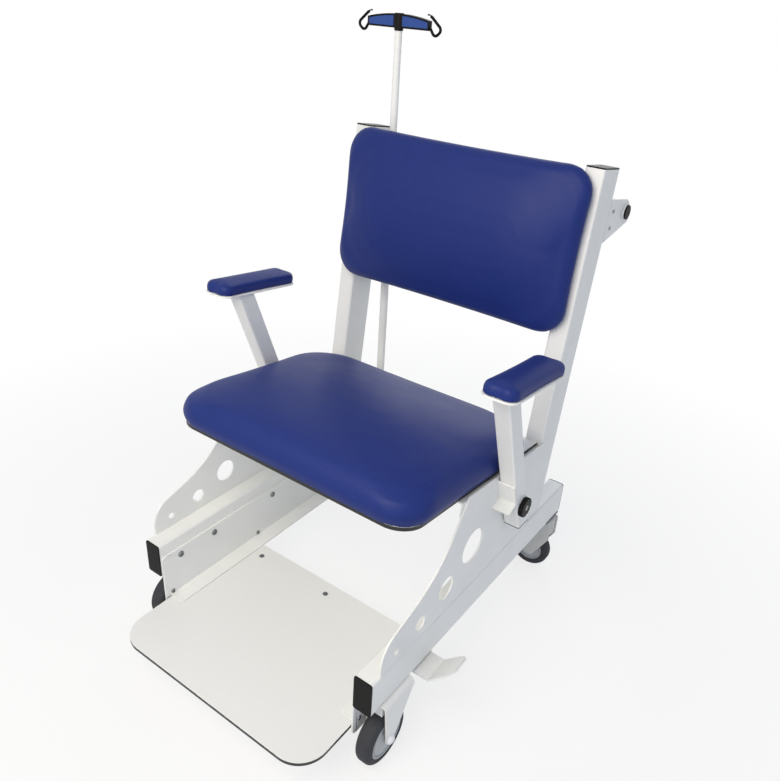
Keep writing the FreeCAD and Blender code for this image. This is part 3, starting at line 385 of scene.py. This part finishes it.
def eased(node, width, material, segments=2):
    """Copy of a CAD node with its sharp edges broken, as on the real sheet or moulding."""
    piece = copied(node)
    paint(piece, material)
    break_edges(piece, width, segments)
    stand_for(piece, node)


def paint_selected(piece):
    """Give the selected faces the piece's second material and leave edit mode."""
    piece.active_material_index = 1
    bpy.ops.object.material_slot_assign()
    done()


def set_at(master, places, name, material):
    """Copies of a modelled piece, each at a point and turned to a direction, as one object."""
    copies = []
    for point, direction in places:
        only(master)
        bpy.ops.object.duplicate()
        copy = bpy.context.object
        copy.location = point
        copy.rotation_euler = Vector(direction).to_track_quat("Z", "Y").to_euler()
        bpy.ops.object.transform_apply(location=True, rotation=True, scale=True)
        copies.append(copy)
    nothing_selected()
    for copy in copies:
        copy.select_set(True)
    bpy.context.view_layer.objects.active = copies[0]
    if len(copies) > 1:
        bpy.ops.object.join()
    piece = bpy.context.object
    piece.name = name
    paint(piece, material)
    return piece


def put_away(master):
    """Delete a modelled piece once its copies are in place."""
    bpy.data.objects.remove(master, do_unlink=True)


def middle(node):
    """Middle of a CAD node's box."""
    low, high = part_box(node)
    return (Vector(low) + Vector(high)) / 2


# Padded pieces

# Tilts of the pads, in degrees, as in the CAD model
SEAT_TILT = 6.8
BACK_LEAN = 7.5
ARM_TILT = 6.5

# By share of a pad's height: held by its board up to HELD_TO, free of it from FREE_FROM on, with
# a weight that becomes full over FREE_OVER
HELD = "held_on_board"
FREE = "free_of_board"
HELD_TO = 0.1
FREE_FROM = 0.04
FREE_OVER = 0.2

SMOOTHING = 0.5
RIM_ROUNDS = 2

COVER_PRESSURE = 4.0
COVER_STRETCH_STIFFNESS = 30.0
COVER_BENDING_STIFFNESS = 2.0
COVER_FRAMES = 20
EVENING_ROUNDS = 60


def tip(piece, angle):
    """Turn a piece about the X axis through the origin."""
    only(piece)
    piece.rotation_mode = "XYZ"
    piece.rotation_euler.x = math.radians(angle)
    bpy.ops.object.transform_apply(location=False, rotation=True, scale=False)


def close_pocket(piece, depth, wrap):
    """Cut a flat-lying pad at a height above its base and draw the cut face down by the wrap."""
    base = min(vertex.co.z for vertex in piece.data.vertices)
    only(piece)
    edit("VERT", "SELECT")
    bpy.ops.mesh.bisect(plane_co=(0, 0, base + depth), plane_no=(0, 0, 1),
                        use_fill=True, clear_inner=True)
    bpy.ops.mesh.extrude_region_move(TRANSFORM_OT_translate={"value": (0, 0, -wrap)})
    done()


def blow_up(piece, cap):
    """Run the cover as cloth under pressure and let its top swell as far, capped and evened."""
    scene = bpy.context.scene
    points = piece.data.vertices
    before = np.array([vertex.co for vertex in points])
    outwards = np.array([vertex.normal for vertex in points])
    raised = np.clip(outwards[:, 2], 0, 1)
    cloth = piece.modifiers.new("cover", "CLOTH")
    settings = cloth.settings
    settings.use_pressure = True
    settings.uniform_pressure_force = COVER_PRESSURE
    settings.vertex_group_mass = HELD
    settings.effector_weights.gravity = 0.0
    settings.tension_stiffness = COVER_STRETCH_STIFFNESS
    settings.compression_stiffness = COVER_STRETCH_STIFFNESS
    settings.bending_stiffness = COVER_BENDING_STIFFNESS
    cloth.collision_settings.use_collision = False
    for step in range(1, COVER_FRAMES + 1):
        scene.frame_set(step)
    shape = piece.evaluated_get(bpy.context.evaluated_depsgraph_get()).to_mesh()
    moves = np.array([vertex.co for vertex in shape.vertices]) - before
    piece.modifiers.remove(cloth)
    scene.frame_set(1)
    swell = np.clip(np.sum(moves * outwards, axis=1), 0, cap)
    # Each round moves a point's swell half way to the mean of its neighbours'
    ends = np.array([edge.vertices[:] for edge in piece.data.edges])
    starts, stops = np.concatenate((ends, ends[:, ::-1])).T
    neighbours = np.bincount(starts, minlength=len(swell))
    for _ in range(EVENING_ROUNDS):
        swell = (swell + np.bincount(starts, swell[stops], len(swell)) / neighbours) / 2
    for vertex, place in zip(points, before + outwards * (swell * raised)[:, None]):
        vertex.co = place
    piece.data.update()


def padded(node, tilt, pocket, wrap, voxel, rounds, growth, cap):
    """Foam pad in its cover: laid flat, remeshed, smoothed, grown, then blown up as cloth."""
    piece = copied(node)
    tip(piece, tilt)
    if pocket:
        close_pocket(piece, pocket, wrap)
    modify(piece, "REMESH", mode="VOXEL", voxel_size=voxel, use_smooth_shade=True)
    heights = [vertex.co.z for vertex in piece.data.vertices]
    base = min(heights)
    full = max(heights) - base
    held = piece.vertex_groups.new(name=HELD)
    free = piece.vertex_groups.new(name=FREE)
    for vertex, height in zip(piece.data.vertices, heights):
        rise = (height - base) / full
        held.add([vertex.index], 1.0 if rise < HELD_TO else 0.0, "REPLACE")
        free.add([vertex.index], min(max((rise - FREE_FROM) / FREE_OVER, 0.0), 1.0), "REPLACE")
    modify(piece, "SMOOTH", factor=SMOOTHING, iterations=RIM_ROUNDS, use_z=False)
    modify(piece, "SMOOTH", factor=SMOOTHING, iterations=rounds, vertex_group=FREE)
    modify(piece, "DISPLACE", strength=growth, mid_level=0.0, vertex_group=FREE)
    blow_up(piece, cap)
    modify(piece, "SUBSURF", levels=1, render_levels=1)
    tip(piece, -tilt)
    piece.vertex_groups.clear()
    bpy.ops.object.shade_smooth()
    paint(piece, VINYL)
    stand_for(piece, node)


padded("seat_cushion", tilt=SEAT_TILT, pocket=6 * MM, wrap=1 * MM, voxel=6 * MM,
       rounds=4, growth=4 * MM, cap=5 * MM)
padded("back_cushion", tilt=BACK_LEAN - 90, pocket=9 * MM, wrap=7 * MM, voxel=5 * MM,
       rounds=4, growth=5 * MM, cap=5 * MM)
for side in SIDES:
    padded("arm_pad_" + side, tilt=ARM_TILT, pocket=0, wrap=0, voxel=2.5 * MM,
           rounds=1, growth=-0.4 * MM, cap=1 * MM)


# Wheels: solid tyres on moulded hubs, in millimetres

# Steps are insets of the end faces, each a width and a rise
WHEELS = {
    "front": {
        "axis": (1, 0, 0), "radius": 60, "width": 34, "shoulder": 11, "hub_radius": 45,
        "wall_steps": ((11.4, 0), (0.7, -0.5), (0.7, 0), (0.7, 0.5), (1.4, 0)),
        "face_steps": ((4, 0), (0.8, -3), (2.2, 0), (0.8, 2.4), (20, 0), (0.8, 1.6)),
    },
    "rear": {
        "axis": (0, 1, 0), "radius": 50, "width": 28, "shoulder": 9, "hub_radius": 34,
        "wall_steps": ((9.4, 0), (0.7, -0.5), (0.7, 0), (0.7, 0.5), (4.4, 0)),
        "face_steps": ((3, 0), (0.8, -3), (2, 0), (0.8, 2.4), (14, 0), (0.8, 1.6)),
    },
}
HUB_NARROWER = 2.5
HUB_EDGE = 0.5
TYRE_SIDES = 96
HUB_SIDES = 72
SHOULDER_SEGMENTS = 8

# A face looks along Z above this part of its normal, and a point within NEAR is on a rim
ALONG_Z = 0.9
NEAR = 0.5


def stepped_disc(sides, radius, width, steps):
    """Disc lying at the origin, left in edit mode with its end faces inset step by step."""
    nothing_selected()
    bpy.ops.mesh.primitive_cylinder_add(vertices=sides, radius=radius * MM, depth=width * MM)
    piece = bpy.context.object
    select_faces(piece, lambda face: abs(face.normal.z) > ALONG_Z)
    for inset, rise in steps:
        bpy.ops.mesh.inset(thickness=inset * MM, depth=rise * MM)
    return piece


def tyre(radius, width, shoulder, wall_steps):
    """Tyre lying at the origin: a moulded line on its walls, bored for the hub, round shoulders."""
    piece = stepped_disc(TYRE_SIDES, radius, width, wall_steps)
    bpy.ops.mesh.bridge_edge_loops()
    done()
    rim = (radius - NEAR) * MM
    wall = (width / 2 - NEAR) * MM
    for way in (1, -1):
        select_edges(piece, lambda point: point.xy.length > rim and way * point.z > wall)
        bpy.ops.mesh.bevel(offset=shoulder * MM, segments=SHOULDER_SEGMENTS, affect="EDGES")
        done()
    smooth_below(piece, TURNED_ANGLE)
    return piece


def hub(radius, width, face_steps):
    """Hub lying at the origin: a ring groove in each face and a raised boss."""
    piece = stepped_disc(HUB_SIDES, radius, width, face_steps)
    done()
    break_edges(piece, HUB_EDGE * MM)
    return piece


for end, wheel in WHEELS.items():
    tyre_master = tyre(wheel["radius"], wheel["width"], wheel["shoulder"], wheel["wall_steps"])
    hub_master = hub(wheel["hub_radius"], wheel["width"] - HUB_NARROWER, wheel["face_steps"])
    masters = (("tyre", tyre_master, RUBBER), ("hub", hub_master, HUB_GREY))
    for side in SIDES:
        places = [(middle(f"{end}_tyre_{side}"), wheel["axis"])]
        for part, master, material in masters:
            node = f"{end}_{part}_{side}"
            stand_for(set_at(master, places, node + "_finished", material), node)
    put_away(tyre_master)
    put_away(hub_master)


# Screws and rivets: places in millimetres, counted back from the rails' front ends

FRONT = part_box("rail_end_caps")[0][1]
GUIDE_FACE = 256
RAIL_INNER = 260
GUIDE_SCREWS = (52.6, 147.5, 333.0)
GUIDE_SCREW_HEIGHT = 192.0
GUIDE_RIVETS = (23.0, 280.5)
GUIDE_RIVET_HEIGHT = 108.3
FOOT_SCREWS = (-195.0, 0.0, 195.0)
FOOT_SCREW_LINE = 232.0

SCREW_SIDES = 32
SOCKET_SIDES = 6
# Shares of a head's height: where its top edge starts, and how much of it is domed
TOP_EDGE = 0.9
DOME = 0.75
DOME_SEGMENTS = 4


def button_screw(radius, height, socket):
    """Button head standing at the origin: a domed rim and a hexagon socket."""
    nothing_selected()
    bpy.ops.mesh.primitive_cylinder_add(vertices=SCREW_SIDES, radius=radius * MM,
                                        depth=height * MM, location=(0, 0, height / 2 * MM))
    piece = bpy.context.object
    bpy.ops.object.transform_apply(location=True, rotation=True, scale=True)
    select_edges(piece, lambda point: point.z > TOP_EDGE * height * MM)
    bpy.ops.mesh.bevel(offset=DOME * height * MM, segments=DOME_SEGMENTS, affect="EDGES")
    done()
    nothing_selected()
    bpy.ops.mesh.primitive_cylinder_add(vertices=SOCKET_SIDES, radius=socket * MM,
                                        depth=height * MM, location=(0, 0, height * MM))
    hexagon = bpy.context.object
    modify(piece, "BOOLEAN", object=hexagon, operation="DIFFERENCE", solver="EXACT")
    put_away(hexagon)
    smooth_below(piece, TURNED_ANGLE)
    return piece


def spot(x, y, z):
    """A point given in millimetres, with Y counted back from the front ends of the rails."""
    return Vector((x * MM, FRONT + y * MM, z * MM))


def set_screws():
    """Screws and rivets of the footplate's guides, and the screws in the footplate."""
    large = button_screw(radius=7, height=3.5, socket=3)
    small = button_screw(radius=5, height=2.5, socket=2)
    low = button_screw(radius=6, height=1.5, socket=2.2)
    guide_places = [(spot(way * GUIDE_FACE, y, GUIDE_SCREW_HEIGHT), (-way, 0, 0))
                    for way in SIDES.values() for y in GUIDE_SCREWS]
    rivet_places = [(spot(way * face, y, GUIDE_RIVET_HEIGHT), (turn * way, 0, 0))
                    for way in SIDES.values() for y in GUIDE_RIVETS
                    for face, turn in ((GUIDE_FACE, -1), (RAIL_INNER, 1))]
    heads = set_at(large, guide_places, "guide_screws_finished", ZINC)
    rivets = set_at(small, rivet_places, "guide_rivets", ZINC)
    stand_for(heads, "guide_screws")
    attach(rivets, BODY_OF["guide_screws"])
    foot_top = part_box("footplate")[1][2] / MM
    foot_places = [(spot(x, FOOT_SCREW_LINE, foot_top), (0, 0, 1)) for x in FOOT_SCREWS]
    stand_for(set_at(low, foot_places, "footplate_screws_finished", ZINC), "footplate_screws")
    for master in (large, small, low):
        put_away(master)


set_screws()


# Pieces of two materials: the drip pole's cross head, the armrest posts and the front axles

ALONG_Y = 0.99
PANEL_LEAST_AREA = 500 * MM * MM
PANEL_FRAME = 3.2 * MM
PANEL_SLOPE = 0.5 * MM
PANEL_DEPTH = 0.9 * MM
HEAD_EDGE = 0.4 * MM
PLUG_RIM = 3 * MM
POST_EDGE = 0.5 * MM
AXLE_EDGE = 0.4 * MM


def finish_hook_head():
    """Drip pole's cross head: an arched bar with a sunk blue panel on each face."""
    piece = copied("hook_head")
    paint(piece, BLACK, PANEL_BLUE)
    select_faces(piece, lambda face: (abs(face.normal.y) > ALONG_Y
                                      and face.area > PANEL_LEAST_AREA))
    bpy.ops.mesh.inset(thickness=PANEL_FRAME, depth=0)
    bpy.ops.mesh.inset(thickness=PANEL_SLOPE, depth=-PANEL_DEPTH)
    paint_selected(piece)
    break_edges(piece, HEAD_EDGE)
    stand_for(piece, "hook_head")


def finish_arm_post(node):
    """Armrest post with a black plug in its lower end."""
    piece = copied(node)
    plug_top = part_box(node)[0][2] + PLUG_RIM
    edit("VERT", "SELECT")
    bpy.ops.mesh.bisect(plane_co=(0, 0, plug_top), plane_no=(0, 0, 1))
    done()
    paint(piece, WHITE, BLACK)
    select_faces(piece, lambda face: face.center.z < plug_top)
    paint_selected(piece)
    break_edges(piece, POST_EDGE)
    stand_for(piece, node)


def finish_front_axles():
    """Front axles with white caps outside the forks."""
    piece = copied("front_axles")
    cap_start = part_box("front_fork_right")[1][0]
    paint(piece, ZINC, CAP_WHITE)
    select_faces(piece, lambda face: abs(face.center.x) > cap_start)
    paint_selected(piece)
    break_edges(piece, AXLE_EDGE)
    stand_for(piece, "front_axles")


finish_hook_head()
for side in SIDES:
    finish_arm_post("arm_post_" + side)
finish_front_axles()


# Sheet metal, mouldings and boards with broken edges, whose widths are in millimetres

PAIRED_SHEETS = {"side_plate": 0.7, "guide": 0.7, "front_fork": 0.8, "brake_pedal": 0.8,
                 "arm_plate": 1.3}
SINGLE_SHEETS = {"arm_stops": 0.7, "push_brackets": 0.7, "seat_angles": 0.6,
                 "brake_blocks": 0.8, "mast_bracket": 1.0}
BLACK_MOULDINGS = ("rail_end_caps", "upright_caps", "push_bar_plugs", "pole_collar",
                   "collar_knob")
MOULDING_EDGE = 1.0
KNOB_EDGE = 1.2
HOUSING_EDGE = 2.0
HOUSING_SEGMENTS = 3
BOLT_EDGE = 0.6
BACK_BOARD_EDGE = 1.0
LAMINATE_EDGE = 0.8

for side in SIDES:
    for name, width in PAIRED_SHEETS.items():
        eased(name + "_" + side, width * MM, WHITE)
    eased("arm_knob_" + side, KNOB_EDGE * MM, BLACK)
    eased("caster_fork_" + side, HOUSING_EDGE * MM, HOUSING_GREY, HOUSING_SEGMENTS)
for name, width in SINGLE_SHEETS.items():
    eased(name, width * MM, WHITE)
for name in BLACK_MOULDINGS:
    eased(name, MOULDING_EDGE * MM, BLACK)
eased("push_screws", BOLT_EDGE * MM, ZINC)
eased("back_board", BACK_BOARD_EDGE * MM, BOARD)
for name in ("seat_board", "footplate"):
    eased(name, LAMINATE_EDGE * MM, LAMINATE)


# Carried-over nodes with their finish

for name, node in NODES.items():
    if not node.hide_render:
        smooth_below(node, CARRIED_ANGLE)
        for slot in node.material_slots:
            slot.material = FINISH[SLOT_OF[name]]


# Camera at the photograph's viewing angle, worked out from its parallel edges

CAMERA_PLACE = Vector((0.8024, -1.10155, 1.3015))
CAMERA_AZIMUTH = math.radians(34.497)
CAMERA_ELEVATION = math.radians(28.549)
CAMERA_ROLL = math.radians(3.545)
FOCAL_PIXELS = 754.11
LONG_SIDE_PIXELS = 781
SENSOR = 36.0
NEAREST_SEEN = 0.05


def set_camera():
    """Camera at its place, turned by its azimuth, elevation and roll."""
    camera = bpy.data.cameras.new("camera")
    camera.sensor_width = SENSOR
    camera.lens = FOCAL_PIXELS / LONG_SIDE_PIXELS * SENSOR
    camera.clip_start = NEAREST_SEEN
    holder = bpy.data.objects.new("camera", camera)
    bpy.context.scene.collection.objects.link(holder)
    sine, cosine = math.sin(CAMERA_AZIMUTH), math.cos(CAMERA_AZIMUTH)
    lift, level = math.sin(CAMERA_ELEVATION), math.cos(CAMERA_ELEVATION)
    ahead = Vector((-sine * level, cosine * level, -lift))
    right = Vector((cosine, sine, 0))
    up = right.cross(ahead)
    rolled_right = right * math.cos(CAMERA_ROLL) + up * math.sin(CAMERA_ROLL)
    rolled_up = up * math.cos(CAMERA_ROLL) - right * math.sin(CAMERA_ROLL)
    turn = Matrix((rolled_right, rolled_up, -ahead)).transposed()
    holder.matrix_world = Matrix.Translation(CAMERA_PLACE) @ turn.to_4x4()
    bpy.context.scene.camera = holder


# Floor, light and background

PURE_WHITE = {"Color": (1, 1, 1, 1), "Strength": 1.0}
FLOOR_WIDTH = 60
FLOOR_COLOUR = "#ececec"
# White share of the floor as it is seen: the least near the chair, all of it further out
WHITE_SHARE = {"From Min": 0.7, "From Max": 1.7, "To Min": 0.75, "To Max": 1.0}

LIT_POINT = Vector((0, 0, 0.45))
SOFTBOXES = {
    # Place and width in metres, watts, colour
    "key": ((0.2, -1.35, 1.65), 1.2, 26, "#fff4e4"),
    "fill": ((2.2, -1.2, 0.9), 1.6, 3, "#a8c4ff"),
    "rear": ((-0.9, 2.3, 1.5), 1.6, 13, "#ffffff"),
}
SKY_COLOUR = "#eaf1fc"
SKY_STRENGTH = 0.53


def seen_directly(tree):
    """One for rays that show the background, from the camera or by gloss or glass, else none."""
    path = add(tree, "ShaderNodeLightPath", {}, {})
    mirrored = add(tree, "ShaderNodeMath", {"operation": "MAXIMUM"},
                   {0: path.outputs["Is Glossy Ray"], 1: path.outputs["Is Transmission Ray"]})
    either = add(tree, "ShaderNodeMath", {"operation": "MAXIMUM"},
                 {0: path.outputs["Is Camera Ray"], 1: mirrored.outputs["Value"]})
    return either.outputs["Value"]


def set_stage():
    """Pale floor that keeps the shadow near the chair and turns white further out."""
    nothing_selected()
    bpy.ops.mesh.primitive_plane_add(size=FLOOR_WIDTH, location=(0, 0, 0))
    floor = bpy.context.object
    floor.name = "studio_floor"
    material, tree, place = new_material("pale_studio_floor", Base_Color=linear(FLOOR_COLOUR),
                                         Roughness=0.9, Specular_IOR_Level=0.2)
    shader = tree.nodes["Principled BSDF"]
    reach = add(tree, "ShaderNodeVectorMath", {"operation": "LENGTH"}, {0: place})
    fade = add(tree, "ShaderNodeMapRange", WHITE_SHARE, {"Value": reach.outputs["Value"]})
    share = add(tree, "ShaderNodeMath", {"operation": "MULTIPLY"},
                {0: fade.outputs["Result"], 1: seen_directly(tree)})
    white = add(tree, "ShaderNodeEmission", PURE_WHITE, {})
    mix = add(tree, "ShaderNodeMixShader", {},
              {0: share.outputs["Value"], 1: shader.outputs[0], 2: white.outputs[0]})
    tree.links.new(mix.outputs[0], tree.nodes["Material Output"].inputs["Surface"])
    paint(floor, material)


def add_softbox(name, place, width, watts, colour):
    """Square soft box that stands at a place and shines on the middle of the chair."""
    lamp = bpy.data.lights.new(name, "AREA")
    lamp.size = width
    lamp.energy = watts
    lamp.color = linear(colour)[:3]
    holder = bpy.data.objects.new(name, lamp)
    bpy.context.scene.collection.objects.link(holder)
    holder.location = place
    holder.rotation_euler = (Vector(place) - LIT_POINT).to_track_quat("Z", "Y").to_euler()


def set_light():
    """Soft boxes and a pale sky, with a white background where it is seen directly."""
    for name, (place, width, watts, colour) in SOFTBOXES.items():
        add_softbox(name, place, width, watts, colour)
    world = bpy.data.worlds.new("studio")
    bpy.context.scene.world = world
    world.use_nodes = True
    tree = world.node_tree
    sky = tree.nodes["Background"]
    sky.inputs["Color"].default_value = linear(SKY_COLOUR)
    sky.inputs["Strength"].default_value = SKY_STRENGTH
    white = add(tree, "ShaderNodeBackground", PURE_WHITE, {})
    mix = add(tree, "ShaderNodeMixShader", {},
              {0: seen_directly(tree), 1: sky.outputs[0], 2: white.outputs[0]})
    tree.links.new(mix.outputs[0], tree.nodes["World Output"].inputs["Surface"])
    bpy.context.scene.view_settings.view_transform = "Standard"


set_camera()
set_stage()
set_light()
